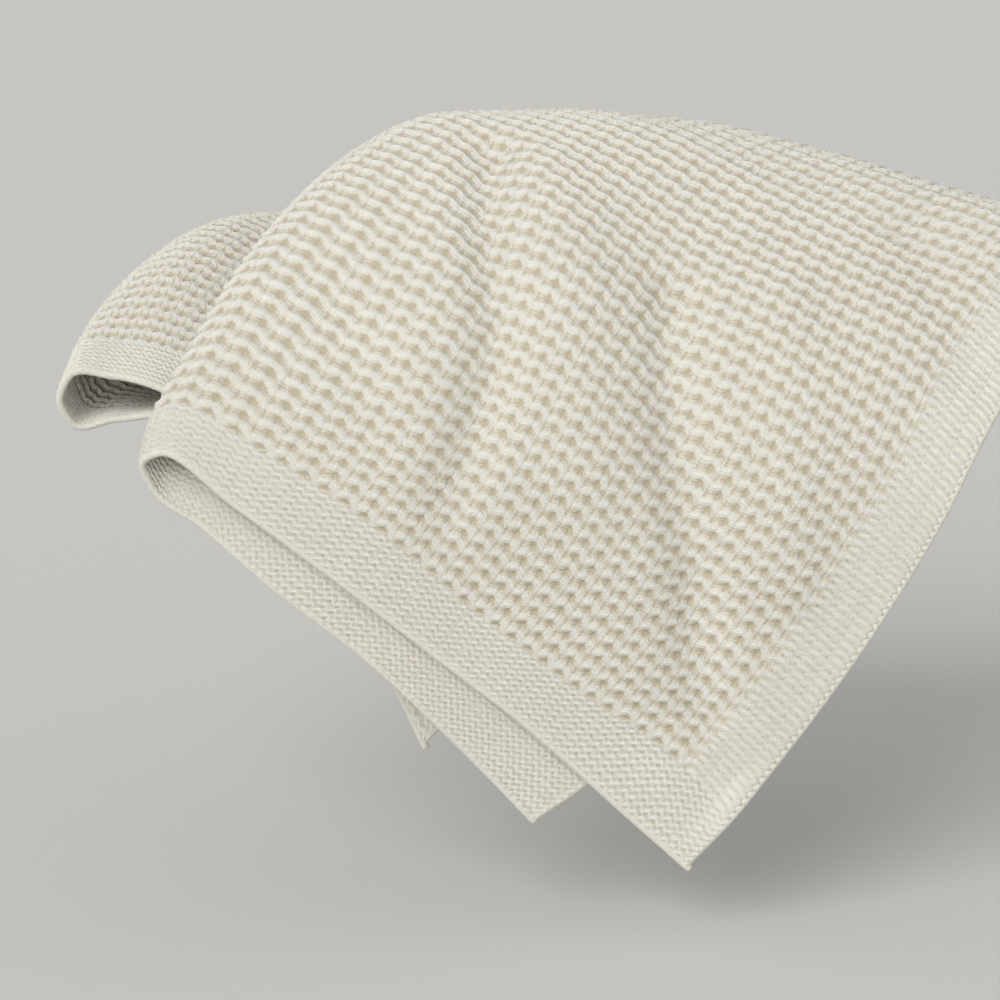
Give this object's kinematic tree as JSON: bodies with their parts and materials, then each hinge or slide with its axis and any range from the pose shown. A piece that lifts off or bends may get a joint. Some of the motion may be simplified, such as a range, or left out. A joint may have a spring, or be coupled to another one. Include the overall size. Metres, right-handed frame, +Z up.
{
  "type": "folded knitted throw blanket",
  "caption": "Waffle-knit throw with garter-stitch borders and a rounded edge, folded in four and draped over the end and front edge of a flat seat.",
  "frame": {"origin": "on the flat underside of the lowest leaf, where the throw rests on a seat, 150 mm behind the seat's front edge", "axes": "+X to the right along the seat's front edge, +Y back from that edge, +Z up"},
  "size_m": [1.099, 0.486, 0.7146],
  "materials": {
    "waffle_knit": "cream wool, waffle knit",
    "garter_knit": "cream wool, garter stitch",
    "edge_cord": "cream wool, rounded chain edge"
  },
  "bodies": {
    "root": {"front_border_outer": "garter_knit", "front_border_fold": "garter_knit", "front_border_under": "garter_knit", "upper_outer_side_border": "garter_knit", "upper_outer_field": "waffle_knit", "upper_fold": "waffle_knit", "upper_inner_field": "waffle_knit", "upper_inner_side_border": "garter_knit", "lower_outer_side_border": "garter_knit", "lower_outer_field": "waffle_knit", "lower_fold": "waffle_knit", "lower_inner_field": "waffle_knit", "lower_inner_side_border": "garter_knit", "end_border_outer": "garter_knit", "end_border_fold": "garter_knit", "end_border_inner": "garter_knit", "front_hem_cord": "edge_cord", "end_hem_cord": "edge_cord", "outer_side_cord": "edge_cord", "inner_side_cord": "edge_cord"}
  },
  "joints": []
}
